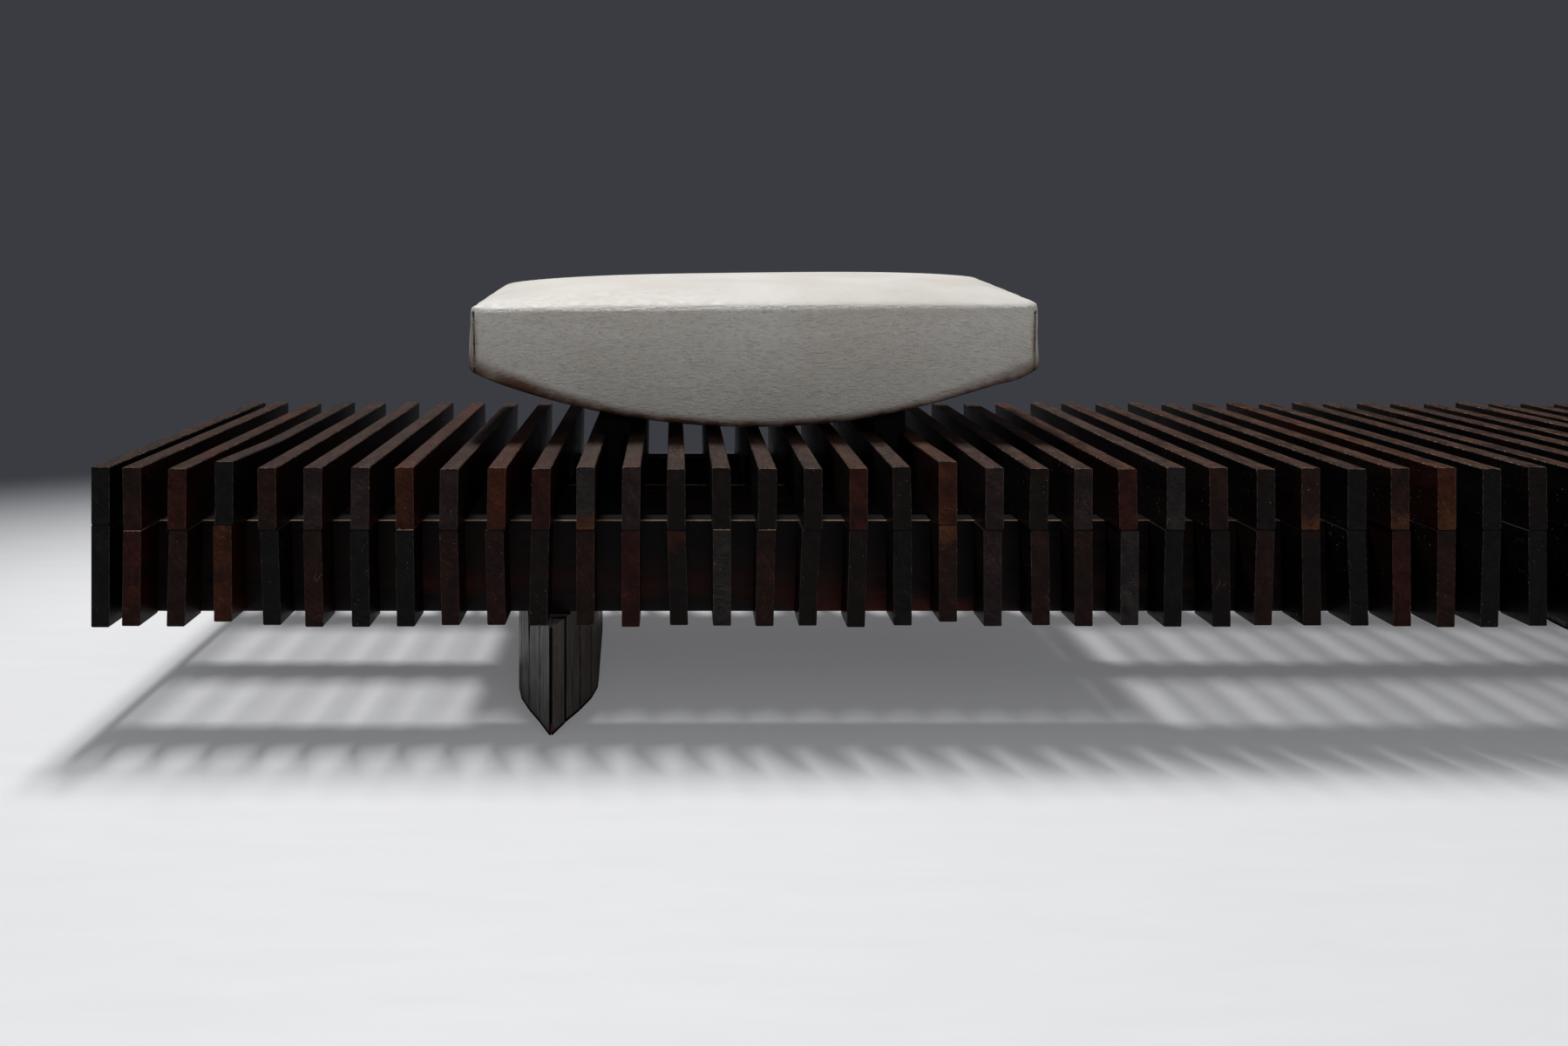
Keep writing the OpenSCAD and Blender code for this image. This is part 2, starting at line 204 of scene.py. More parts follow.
def material(name, paint, **plain):
    """A material: plain values go on the shader's own sockets, and paint(tree) gives what varies."""
    made = bpy.data.materials.new(name)
    made.use_nodes = True
    tree = made.node_tree
    shader = tree.nodes["Principled BSDF"]
    for label, value in plain.items():
        shader.inputs[label.replace("_", " ")].default_value = value
    for label, socket in paint(tree).items():
        tree.links.new(socket, shader.inputs[label])
    return made


# Effects that several materials use

def make_arris_wear():
    """Where the arrises of a piece wear and catch the light: a broken line along them, which the boards
    paint pale as wear and as a painted highlight, and small chips beside it.
    """
    takes = [("Width", "Float", 0.6 * MM), ("Chips", "Float", 0.3)]
    tree, given, out = effect("arris wear", takes, ["Wear", "Chip"])
    place = marked(tree, "place", "Vector")
    rest = reckon_vector(tree, "SUBTRACT", marked(tree, "room", "Vector"), place)
    near_x, near_y, near_z = parts(tree, reckon_vector(tree, "MINIMUM", place, rest))
    low = reckon(tree, "MINIMUM", near_x, near_y)
    high = reckon(tree, "MAXIMUM", near_x, near_y)
    # On a face one distance is nothing, so the second smallest is the way to the arris
    away = reckon(tree, "MAXIMUM", low, reckon(tree, "MINIMUM", high, near_z))
    broken = cloud(tree, where(tree), 140, 5, 0.7)
    reach = times(tree, given["Width"], eased(tree, broken, 0.38, 0.68, 0.15, 2.2))
    share = reckon(tree, "DIVIDE", away, reach)
    tree.links.new(fading(tree, share, 0.55, 1.1), out["Wear"])
    close = fading(tree, away, 0.4 * MM, 3.2 * MM)
    flakes = times(tree, cloud(tree, where(tree), 420, 3, 0.6), plus(tree, close, 0.15))
    limit = eased(tree, given["Chips"], 0, 1, 0.86, 0.6)
    tree.links.new(reckon(tree, "GREATER_THAN", flakes, limit), out["Chip"])
    return tree


def make_grain():
    """Solid wood: rings round the board's heart line, pores and clouds drawn out along the grain."""
    takes = [("Along", "Vector", (0, 1, 0)), ("Fineness", "Float", 160.0), ("Clouding", "Float", 18.0)]
    tree, given, out = effect("grain", takes, ["Rings", "Pores", "Clouds"])
    along = given["Along"]

    def drawn_out(share):
        """The point's place, squeezed along the grain, so that a noise on it is drawn out that way."""
        kept = reckon_vector(tree, "SUBTRACT", (1, 1, 1), stretched(tree, along, *(share,) * 3))
        return reckon_vector(tree, "MULTIPLY", where(tree), kept)

    point = reckon_vector(tree, "ADD", where(tree), drift(tree, 9, 2, 0.012))
    spoke = reckon_vector(tree, "SUBTRACT", point, marked(tree, "heart", "Vector"))
    across = reckon_vector(tree, "SUBTRACT", (1, 1, 1), along)
    radius = reckon_vector(tree, "LENGTH", reckon_vector(tree, "MULTIPLY", spoke, across), out="Value")
    run = reckon_vector(tree, "DOT_PRODUCT", where(tree), along, out="Value")
    ring = put(tree, "CombineXYZ", {0: radius, 1: times(tree, run, 0.04)})
    rings = cloud(tree, ring, given["Fineness"], 6, 0.72)
    pores = cloud(tree, drawn_out(0.94), 1300, 2, 0.6)
    clouds = cloud(tree, drawn_out(0.7), given["Clouding"], 3, 0.5, 0.4)
    tree.links.new(eased(tree, rings, 0.32, 0.68), out["Rings"])
    tree.links.new(eased(tree, pores, 0.54, 0.7), out["Pores"])
    tree.links.new(eased(tree, clouds, 0.32, 0.68), out["Clouds"])
    return tree


def make_scratches():
    """A few thin hair lines, and pale specks of dirt."""
    tree, given, out = effect("scratches", [("Amount", "Float", 0.4)], ["Lines", "Specks"])
    slow = cloud(tree, stretched(tree, where(tree), 1, 1, 0.55), 26, 1, 0.4, 0.6)
    hair = fading(tree, apart(tree, slow, 0.5), 0.0008, 0.003)
    limit = minus(tree, 0.72, times(tree, given["Amount"], 0.2))
    patch = reckon(tree, "GREATER_THAN", cloud(tree, where(tree), 19, 1), limit)
    tree.links.new(times(tree, hair, patch), out["Lines"])
    crowd = times(tree, cloud(tree, where(tree), 15, 1), 0.25)
    specks = plus(tree, cloud(tree, where(tree), 330, 1, 0.5), crowd)
    tree.links.new(eased(tree, specks, 0.885, 0.91), out["Specks"])
    return tree


ARRIS_WEAR = make_arris_wear()
GRAIN = make_grain()
SCRATCHES = make_scratches()


# Slat boards

def saw_waves(tree):
    """Fine level waves that the saw has left on the ends of the boards."""
    noise = put(tree, "TexNoise", {"Scale": 28, "Detail": 2}, out="Color")
    place = reckon_vector(tree, "ADD", where(tree), stretched(tree, noise, 0, 0, 6 * MM))
    return cloud(tree, stretched(tree, place, 0.14, 0.14, 1), 900, 2, 0.6)


def stained_board(tree, grain, saw, front, from_joint):
    """The board's own stain, and its patch by the joint, in grain, blotches and saw waves."""
    blotch = cloud(tree, where(tree), 60, 4, 0.6)
    edge = plus(tree, from_joint, times(tree, minus(tree, blotch, 0.5), 90 * MM))
    by_joint = times(tree, fading(tree, edge, 4 * MM, 26 * MM), front)
    stain = mixed(tree, by_joint, marked(tree, "main_stain", "Color"), marked(tree, "joint_stain", "Color"))
    rings = eased(tree, grain["Rings"], 0, 1, 0.6, 1.36)
    depth = times(tree, rings, eased(tree, grain["Clouds"], 0, 1, 0.74, 1.26))
    depth = times(tree, depth, eased(tree, blotch, 0.36, 0.64, 0.76, 1.26))
    sawn = times(tree, front, eased(tree, saw, 0.3, 0.7, -0.28, 0.28))
    depth = times(tree, depth, plus(tree, sawn, 1))
    return mixed(tree, 1, stain, put(tree, "CombineColor", {0: depth, 1: depth, 2: depth}), "MULTIPLY")


def dust_and_painted_light(tree, wood, grain, upward):
    """Dust in the grain of the top faces, with grit on it, and painted light: the film is painted lighter
    towards the right, where the lamp is farther off.
    """
    dusty = cloud(tree, stretched(tree, where(tree), 1, 0.22, 1), 110, 6, 0.75)
    dusty = eased(tree, dusty, 0.38, 0.62)
    thin = mixed(tree, dusty, shade(20, 13, 11), shade(70, 47, 37))
    right_dust_painted_lighter = mixed(tree, dusty, shade(34, 24, 20), shade(104, 73, 58))
    # Painted light: lighter towards the right, to make up for the lamp's light falling off there
    rightward = eased(tree, parts(tree, where(tree))[0], -0.9, 0.5)
    film = mixed(tree, rightward, thin, right_dust_painted_lighter)
    wood = mixed(tree, times(tree, upward, eased(tree, grain["Rings"], 0, 1, 0.3, 0.6)), wood, film)
    grit = eased(tree, cloud(tree, where(tree), 850, 2, 0.6), 0.6, 0.7, 0, 0.5)
    return mixed(tree, times(tree, upward, grit), wood, shade(186, 132, 98))


def worn_and_highlit_board(tree, wood, grain, wear, from_joint, height):
    """Dark pores, pale arrises with wear and a painted highlight, and chips, away from the joint; hair
    lines and specks.
    """
    marred = use(tree, SCRATCHES, Amount=0.4)
    open_edge = eased(tree, from_joint, 1 * MM, 4 * MM)
    # The arrises are painted pale, partly as wear and partly as a painted highlight, most near the top
    # where they catch the light
    arris_wear_and_highlight = times(tree, wear["Wear"], eased(tree, height, 0.96, 0.99, 0.12, 0.5))
    chipped = times(tree, wear["Chip"], times(tree, open_edge, 0.7))
    wood = mixed(tree, times(tree, grain["Pores"], 0.4), wood, shade(12, 9, 8))
    wood = mixed(tree, times(tree, arris_wear_and_highlight, open_edge), wood, shade(165, 138, 120))
    wood = mixed(tree, chipped, wood, shade(170, 142, 118))
    wood = mixed(tree, times(tree, marred["Lines"], 0.35), wood, shade(110, 90, 80))
    return mixed(tree, times(tree, marred["Specks"], 0.4), wood, shade(160, 140, 124))


def board_joint(tree, wood, from_joint):
    """The thin dark line of the joint between the two boards, pale where a few of them have lifted."""
    ragged = eased(tree, cloud(tree, where(tree), 210, 3), 0.35, 0.65, 0.5 * MM, 1.3 * MM)
    line = reckon(tree, "LESS_THAN", from_joint, ragged)
    lifted = reckon(tree, "GREATER_THAN", marked(tree, "chance"), 0.95)
    gap = mixed(tree, lifted, shade(7, 5, 5), shade(150, 116, 92))
    return mixed(tree, times(tree, line, 0.9), wood, gap)


def board_paint(tree):
    """Dark oiled hardwood in each board's own stains: sawn fronts, dusty tops, and patches by the joint."""
    grain = use(tree, GRAIN, Along=(0, 1, 0), Fineness=330, Clouding=24)
    wear = use(tree, ARRIS_WEAR, Width=0.5 * MM, Chips=0.4)
    place_z = parts(tree, marked(tree, "place", "Vector"))[2]
    room_z = parts(tree, marked(tree, "room", "Vector"))[2]
    joint_on_top = marked(tree, "joint_on_top")
    from_joint = apart(tree, place_z, times(tree, room_z, joint_on_top))
    x, y, z = facing(tree)
    front = eased(tree, unsigned(tree, y), 0.6, 0.9)
    upward = times(tree, eased(tree, z, 0.5, 0.9), minus(tree, 1, joint_on_top))
    saw = saw_waves(tree)
    wood = stained_board(tree, grain, saw, front, from_joint)
    # Painted light on the board sides: all are painted darker, as the shade between the boards, and the
    # sides that face left are duller than those that face right, which are painted as catching a reddish
    # light
    side = mixed(tree, eased(tree, x, -0.6, 0.6), shade(132, 110, 106), shade(200, 112, 92))
    sideways = eased(tree, unsigned(tree, x), 0.6, 0.9)
    wood = mixed(tree, sideways, wood, mixed(tree, 1, wood, side, "MULTIPLY"))
    wood = dust_and_painted_light(tree, wood, grain, upward)
    wood = worn_and_highlit_board(tree, wood, grain, wear, from_joint, reckon(tree, "DIVIDE", place_z, room_z))
    wood = board_joint(tree, wood, from_joint)
    gloss = plus(tree, 0.36, times(tree, grain["Clouds"], 0.12))
    gloss = plus(tree, gloss, times(tree, grain["Pores"], 0.2))
    gloss = plus(tree, gloss, times(tree, plus(tree, front, upward), 0.2))
    relief = plus(tree, times(tree, grain["Rings"], 0.7), times(tree, times(tree, front, saw), 1.6))
    relief = minus(tree, relief, plus(tree, grain["Pores"], times(tree, wear["Chip"], 3)))
    return {"Base Color": wood, "Roughness": gloss, "Normal": raised(tree, relief, 0.5, 0.12 * MM)}


# The other woods

# A pale and a dark ply of the seat's board together
PLY_PAIR = math.pi * MM


def beam_paint(tree):
    """Dark hardwood with fine grain along the beam, and reddish streaks in its lower part."""
    grain = use(tree, GRAIN, Along=(1, 0, 0), Fineness=210, Clouding=12)
    x, _, z = parts(tree, where(tree))
    up = facing(tree)[2]
    dark = mixed(tree, grain["Rings"], shade(13, 10, 10), shade(27, 19, 18))
    red = mixed(tree, grain["Rings"], shade(44, 17, 13), shade(68, 27, 21))
    low = fading(tree, z, 135 * MM, 185 * MM)
    patch = eased(tree, cloud(tree, stretched(tree, where(tree), 0.5, 1, 3), 7, 2), 0.42, 0.6)
    wood = mixed(tree, times(tree, plus(tree, low, 0.12), patch, clamp=True), dark, red)
    # Painted shade: the top faces, which lie under the boards, are painted near black
    upper = eased(tree, up, 0.5, 0.95)
    wood = mixed(tree, upper, wood, shade(6, 4, 4))
    # The top arris is painted pale, as wear and as a painted highlight where it catches the light, less so
    # towards the right
    arris = eased(tree, z, BEAM_TOP - 0.65 * MM, BEAM_TOP - 0.5 * MM)
    beam_arris_wear_and_highlight = times(tree, arris, eased(tree, up, 0.97, 0.85))
    beam_arris_wear_and_highlight = times(tree, beam_arris_wear_and_highlight, eased(tree, cloud(tree, where(tree), 30, 4), 0.35, 0.6, 0.45, 1))
    beam_arris_wear_and_highlight = times(tree, beam_arris_wear_and_highlight, eased(tree, x, -0.3, 0.2, 1, 0.06))
    wood = mixed(tree, beam_arris_wear_and_highlight, wood, shade(238, 188, 148))
    gloss = eased(tree, grain["Rings"], 0, 1, 0.3, 0.45)
    gloss = reckon(tree, "MAXIMUM", gloss, times(tree, upper, 0.85))
    return {"Base Color": wood, "Roughness": gloss, "Normal": raised(tree, grain["Rings"], 0.3, 0.1 * MM)}


def stave_places(tree, x, y):
    """Whether a point is left of its pedestal's middle, and how far it lies behind the first joint."""
    # The pedestals are turned a little in plan, and their joints with them
    off = minus(tree, x, times(tree, reckon(tree, "SIGN", x), PEDESTAL_X))
    aside = plus(tree, off, times(tree, y, math.tan(PEDESTAL_TURN)))
    along = minus(tree, y, times(tree, off, math.tan(PEDESTAL_TURN)))
    leftward = reckon(tree, "LESS_THAN", aside, 0)
    behind = plus(tree, along, PEDESTAL_REACH - FIRST_JOINT)
    return leftward, minus(tree, behind, times(tree, leftward, LEFT_STAGGER))


def stave_joints(tree, leftward, behind, height):
    """The joints that gape, and the thin ones between all staves."""
    # On the right the first joint gapes from top to bottom; on the left the second one does, as a wedge
    gaping = reckon(tree, "LESS_THAN", unsigned(tree, behind), 3.8 * MM)
    gaping = times(tree, gaping, minus(tree, 1, leftward))
    wedge_half = eased(tree, height, 40 * MM, PEDESTAL_TOP, 0, 6 * MM)
    wedge = reckon(tree, "LESS_THAN", apart(tree, behind, STAVE), wedge_half)
    wedge = times(tree, wedge, leftward)
    # With twenty staves added, nothing counts from below zero
    nearest = reckon(tree, "PINGPONG", plus(tree, behind, 20 * STAVE), STAVE / 2)
    width = eased(tree, cloud(tree, where(tree), 60, 3), 0.3, 0.7, 1 * MM, 2.8 * MM)
    thin = eased(tree, reckon(tree, "DIVIDE", nearest, width), 0.8, 1.1, 0.85, 0)
    return gaping, wedge, thin


def pedestal_paint(tree):
    """Blackened staves with upright grain, dark joints between them, and two joints that gape."""
    grain = use(tree, GRAIN, Along=(0, 0, 1), Fineness=420, Clouding=22)
    x, y, height = parts(tree, where(tree))
    leftward, behind = stave_places(tree, x, y)
    streak = cloud(tree, stretched(tree, where(tree), 1, 1, 0.025), 620, 3, 0.7)
    dark = mixed(tree, marked(tree, "chance"), shade(38, 34, 31), shade(58, 55, 53))
    # Painted light: the left half, which faces the light, gets paler streaks than the right half, which is
    # in shade
    pale = mixed(tree, leftward, shade(118, 108, 100), shade(156, 154, 153))
    wood = mixed(tree, eased(tree, streak, 0.34, 0.66), dark, pale)
    wood = mixed(tree, eased(tree, grain["Rings"], 0, 1, 0.45, 0), wood, shade(30, 27, 25))
    brown = cloud(tree, stretched(tree, where(tree), 1, 1, 0.12), 40, 3)
    wood = mixed(tree, eased(tree, brown, 0.5, 0.75, 0, 0.5), wood, shade(90, 68, 57))
    # The nose is worn to a red brown near the floor, and the tops are painted paler, as painted light on
    # faces that lie in shade under the beams
    nose = eased(tree, unsigned(tree, y), PEDESTAL_REACH - 12 * MM, PEDESTAL_REACH - 2 * MM)
    nose = times(tree, nose, fading(tree, height, 4 * MM, 16 * MM))
    wood = mixed(tree, times(tree, nose, 0.85), wood, shade(96, 52, 42))
    wood = mixed(tree, eased(tree, facing(tree)[2], 0.5, 0.9), wood, shade(112, 108, 106))
    # The faces inside the joints are black, and so is the rest of the nose; the foot is painted black as a
    # painted contact shadow
    black = eased(tree, unsigned(tree, facing(tree)[1]), 0.8, 0.95)
    black = times(tree, black, minus(tree, 1, nose))
    # Painted shadow where the foot meets the floor
    foot = fading(tree, height, 2 * MM, 5 * MM)
    for gap in (foot, *stave_joints(tree, leftward, behind, height)):
        black = reckon(tree, "MAXIMUM", black, gap)
    wood = mixed(tree, black, wood, shade(3, 3, 3))
    gloss = reckon(tree, "MAXIMUM", eased(tree, grain["Clouds"], 0, 1, 0.34, 0.48), black)
    return {"Base Color": wood, "Roughness": gloss, "Normal": raised(tree, streak, 0.6, 0.25 * MM)}


def runner_paint(tree):
    """Black paint, with grain showing through it a little."""
    grain = use(tree, GRAIN, Along=(0, 1, 0), Fineness=240, Clouding=12)
    wood = mixed(tree, grain["Rings"], shade(5, 5, 5), shade(12, 11, 11))
    gloss = eased(tree, grain["Clouds"], 0, 1, 0.45, 0.6)
    return {"Base Color": wood, "Roughness": gloss, "Normal": raised(tree, grain["Rings"], 0.25, 0.1 * MM)}


def seat_board_paint(tree):
    """Bare plywood: pale and dark plies at its edges, and lively grain on its faces."""
    grain = use(tree, GRAIN, Along=(1, 0, 0), Fineness=60, Clouding=8)
    wood = mixed(tree, grain["Rings"], shade(108, 82, 58), shade(156, 128, 96))
    height = parts(tree, marked(tree, "place", "Vector"))[2]
    wave = reckon(tree, "SINE", times(tree, height, 2 * math.pi / PLY_PAIR))
    ply = reckon(tree, "GREATER_THAN", wave, 0)
    edge = fading(tree, unsigned(tree, facing(tree)[2]), 0.3, 0.5)
    wood = mixed(tree, times(tree, edge, ply), wood, shade(88, 62, 42))
    gloss = eased(tree, grain["Clouds"], 0, 1, 0.55, 0.75)
    return {"Base Color": wood, "Roughness": gloss, "Normal": raised(tree, grain["Rings"], 0.3, 0.15 * MM)}


def dowel_paint(tree):
    """Pale hardwood with its grain upright."""
    grain = use(tree, GRAIN, Along=(0, 0, 1), Fineness=240, Clouding=30)
    wood = mixed(tree, grain["Rings"], shade(176, 144, 104), shade(214, 186, 146))
    return {"Base Color": wood, "Roughness": eased(tree, grain["Clouds"], 0, 1, 0.5, 0.7)}


board_wood = material("dark slat wood", board_paint, Specular_IOR_Level=0.1)
beam_wood = material("beam wood", beam_paint, Specular_IOR_Level=0.07)
pedestal_wood = material("blackened stave wood", pedestal_paint, Specular_IOR_Level=0.14)
runner_wood = material("black runner paint", runner_paint, Specular_IOR_Level=0.1)
seat_board_wood = material("bare plywood", seat_board_paint)
dowel_wood = material("pale dowel wood", dowel_paint)

STAINS = {
    "black": shade(15, 15, 16), "dark": shade(22, 14, 13), "brown": shade(34, 18, 14),
    "red": shade(44, 17, 11), "orange": shade(55, 25, 13), "ochre": shade(74, 43, 24),
    "purple": shade(37, 26, 26), "grey": shade(36, 32, 31),
}
# The stains of the boards from the left end on, with the patch by the joint after a stroke
UPPER_BOARDS = """black brown red black brown purple purple orange/red purple orange red grey/ochre purple
    dark dark dark dark red dark orange purple dark purple red grey brown dark/black brown/ochre black
    brown/ochre orange/ochre black dark dark""".split()
LOWER_BOARDS = """black red brown orange black brown black black brown brown dark brown red dark/orange grey
    brown dark dark black brown/ochre purple brown brown grey black dark brown dark black red brown black
    black dark""".split()


def stains_of(index, boards):
    """A slat's board's main stain and its patch by the joint; past the list they come shuffled."""
    if index >= len(boards):
        boards = random.Random(index).sample(boards, len(boards))
        index = 0
    names = boards[index].split("/")
    return STAINS[names[0]], STAINS[names[-1]]


# Marks on the CAD pieces, for their materials to read

# Steps in a millimetre; corners on the same step are at the same spot
SPOT_STEPS = 20
# How near its top or foot a solid's corners show where that end lies
END_ZONE = 2 * MM
# Millimetres from a solid's middle to the heart of its rings, about
HEART_REACH = (50, 160)
MARK_KINDS = {1: ("FLOAT", "value"), 3: ("FLOAT_VECTOR", "vector"), 4: ("FLOAT_COLOR", "color")}


def corners(mesh):
    """The places of a mesh's vertices, one row each."""
    found = np.empty(len(mesh.vertices) * 3, np.float32)
    mesh.vertices.foreach_get("co", found)
    return found.reshape(-1, 3).astype(float)


def move_corners(mesh, spots):
    mesh.vertices.foreach_set("co", spots.astype(np.float32).ravel())
    mesh.update()


def solids_of(mesh):
    """A number for each vertex; vertices of one solid share it, also where they are split at an arris."""
    keys, same = np.unique((corners(mesh) / MM * SPOT_STEPS).round(), axis=0, return_inverse=True)
    same = same.ravel()
    owner = list(range(len(keys)))

    def first(i):
        while owner[i] != i:
            owner[i] = owner[owner[i]]
            i = owner[i]
        return i

    for edge in mesh.edges:
        a, b = (first(same[v]) for v in edge.vertices)
        owner[max(a, b)] = min(a, b)
    return np.array([first(i) for i in same])


def stood_upright(solid):
    """The corners of a leaning board, pushed sideways so that it stands upright."""
    low, high = solid[:, 2].min(), solid[:, 2].max()
    middles = []
    for end in (low, high):
        level = solid[np.abs(solid[:, 2] - end) < END_ZONE][:, 0]
        middles.append((level.min() + level.max()) / 2)
    lean = (middles[1] - middles[0]) / (high - low)
    upright = solid.copy()
    upright[:, 0] -= lean * (solid[:, 2] - low)
    return upright


def heart_of(solid, luck):
    """A point beside the solid, on the line round which its rings run."""
    turn = luck.uniform(0, 2 * math.pi)
    way = luck.uniform(*HEART_REACH) * MM
    return solid.mean(0) + np.array((math.cos(turn), math.sin(turn), math.sin(turn + 1))) * way


def mark_places(node, stains=None):
    """Marks each solid of a node: its points' places in it, its size, its heart, its chance and stains."""
    mesh = cad[node].data
    points, owners = corners(mesh), solids_of(mesh)
    widths = {"place": 3, "room": 3, "heart": 3, "chance": 1}
    if stains:
        widths.update(joint_on_top=1, main_stain=4, joint_stain=4)
    marks = {name: np.zeros((len(points), width)) for name, width in widths.items()}
    for count, solid in enumerate(np.unique(owners)):
        mine = owners == solid
        own = stood_upright(points[mine])
        luck = random.Random(f"{node} {count}")
        marks["place"][mine] = own - own.min(0)
        marks["room"][mine] = own.max(0) - own.min(0)
        marks["chance"][mine] = luck.random()
        marks["heart"][mine] = heart_of(points[mine], luck)
        if stains:
            marks["main_stain"][mine], marks["joint_stain"][mine] = stains(own.mean(0))
            marks["joint_on_top"][mine] = own[:, 2].mean() < BEAM_TOP
    for name, values in marks.items():
        kind, key = MARK_KINDS[widths[name]]
        layer = mesh.attributes.new(name, kind, "POINT")
        layer.data.foreach_set(key, values.astype(np.float32).ravel())


def slat_at(x):
    """Number of the slat at x, from 0 at the left end."""
    return int(np.clip(round((x - BENCH_LEFT - END_PITCH - BOARD_T / 2) / PITCH) + 1, 0, SLAT_COUNT - 1))


def block_stains(middle):
    """Stains of a short lower board; those at the rear run through the list from the right end."""
    index = slat_at(middle[0])
    return stains_of(index if middle[1] < 0 else SLAT_COUNT - 1 - index, LOWER_BOARDS)


# Dressing of the CAD pieces

WELD_REACH = 0.02 * MM
BOARD_EASE = 0.5 * MM
STAVE_EASE = 0.4 * MM
RUNNER_EASE = 0.8 * MM
SHARP = math.radians(60)


def dress(node, finish, ease=None):
    """Gives a CAD piece its material, joined faces, and softened ends."""
    piece = cad[node]
    piece.data.materials.clear()
    piece.data.materials.append(finish)
    weld = piece.modifiers.new("joined faces", "WELD")
    weld.merge_threshold = WELD_REACH
    if ease:
        bevel = piece.modifiers.new("softened ends", "BEVEL")
        bevel.width, bevel.segments = ease, 2
        bevel.limit_method, bevel.angle_limit = "ANGLE", SHARP


for number in range(1, SLAT_COUNT - 1):
    slat = f"slat_{number + 1:02d}"
    mark_places(slat, lambda middle, index=number: stains_of(index, UPPER_BOARDS))
    dress(slat, board_wood, BOARD_EASE)
OTHER_BOARDS = {
    "end_upper_boards": lambda middle: stains_of(0, UPPER_BOARDS),
    "end_lower_boards": lambda middle: stains_of(0, LOWER_BOARDS),
    "lower_blocks": block_stains,
}
for boards, stains in OTHER_BOARDS.items():
    mark_places(boards, stains)
    dress(boards, board_wood, BOARD_EASE)
OTHER_PIECES = {
    "front_beam": (beam_wood, None), "middle_beam": (beam_wood, None), "rear_beam": (beam_wood, None),
    "left_pedestal": (pedestal_wood, STAVE_EASE), "right_pedestal": (pedestal_wood, STAVE_EASE),
    "seat_base": (seat_board_wood, None), "seat_runners": (runner_wood, RUNNER_EASE),
    "dowels": (dowel_wood, None),
}
for other, (finish, ease) in OTHER_PIECES.items():
    mark_places(other)
    dress(other, finish, ease)


# Making of new pieces

def add_object(name, data):
    piece = bpy.data.objects.new(name, data)
    bpy.context.scene.collection.objects.link(piece)
    return piece


def new_piece(name, mesh):
    """Makes an object in the scene of what was drawn."""
    data = bpy.data.meshes.new(name)
    mesh.to_mesh(data)
    mesh.free()
    return add_object(name, data)


def skinned(loops, triangles=False):
    """A closed skin over loops of points, one behind another, with a face at both ends."""
    mesh = bmesh.new()
    rings = [[mesh.verts.new(spot) for spot in loop] for loop in loops]
    for one, other in zip(rings, rings[1:]):
        for k in range(len(one)):
            j = (k + 1) % len(one)
            mesh.faces.new((one[k], other[k], other[j], one[j]))
    mesh.faces.new(rings[0])
    mesh.faces.new(reversed(rings[-1]))
    if triangles:
        bmesh.ops.triangulate(mesh, faces=mesh.faces)
    bmesh.ops.recalc_face_normals(mesh, faces=mesh.faces)
    return mesh


def with_modifiers(piece):
    return piece.evaluated_get(bpy.context.evaluated_depsgraph_get())


def apply_modifiers(piece):
    """Turns the piece into what its modifiers make of it."""
    made = bpy.data.meshes.new_from_object(with_modifiers(piece))
    piece.modifiers.clear()
    old, piece.data = piece.data, made
    bpy.data.meshes.remove(old)


def shade_smooth(piece):
    piece.data.polygons.foreach_set("use_smooth", [True] * len(piece.data.polygons))


# Shape of the cushion

CUSHION_LOW, CUSHION_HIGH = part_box("seat_cushion")
BASE_LOW, BASE_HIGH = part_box("seat_base")
SEAT_X = (CUSHION_LOW.x + CUSHION_HIGH.x) / 2
SEAT_Y = (CUSHION_LOW.y + CUSHION_HIGH.y) / 2
HALF_W = (CUSHION_HIGH.x - CUSHION_LOW.x) / 2
HALF_D = (CUSHION_HIGH.y - CUSHION_LOW.y) / 2
SEAT_FOOT = CUSHION_LOW.z

# As in the part's source: the underside's curve, the ends' height, and the rise to the rear
SAG = 69 * MM
END_H = 81 * MM
RISE = 20 * MM
UNDER_R = (HALF_W ** 2 + SAG ** 2) / (2 * SAG)
UNDER_Z = SEAT_FOOT + UNDER_R
TOP_EDGE = SEAT_FOOT + SAG + END_H
BOARD_RISE = 2 * MM
BOARD_THICK = 18 * MM

# The cover's ends shrink back in the remesh, and its faces and its crown swell in the filling
REACH = HALF_W + 3.5 * MM
SWELL = 1.5 * MM
CROWN = 20 * MM
DRAW_IN = 3 * MM
TOP_ROLL = 5 * MM
CORNER_ROLL = 4 * MM
FOOT_ROLL = 5 * MM
FULL_END = 18 * MM
# As the photograph shows it, the top falls to the left, and its corners are lifted
TILT = 0.008
REAR_TILT = 0.013
REAR_DIP = 1.2 * MM
CORNER_LIFT = 3.5 * MM
CORNER_START = 0.93
# Steps of the loops, and the room round the curved board
UNDER_POINTS, SIDE_STEPS, TOP_STEPS, LENGTH_STEPS = 20, 10, 28, 60
POCKET_GAP = 0.5 * MM
POCKET_DEPTH = 50 * MM
POCKET_LOOPS = 60


def under_at(x, rise=0):
    """Height of a curve that runs along the cushion's underside, some way above it."""
    return UNDER_Z - np.sqrt((UNDER_R - rise) ** 2 - x ** 2)


def rolled(x, radius):
    """How far an edge of this radius has drawn the section in, close to the cushion's ends."""
    over = max(0, abs(x) - (REACH - radius))
    return radius - math.sqrt(max(0, radius ** 2 - over ** 2))


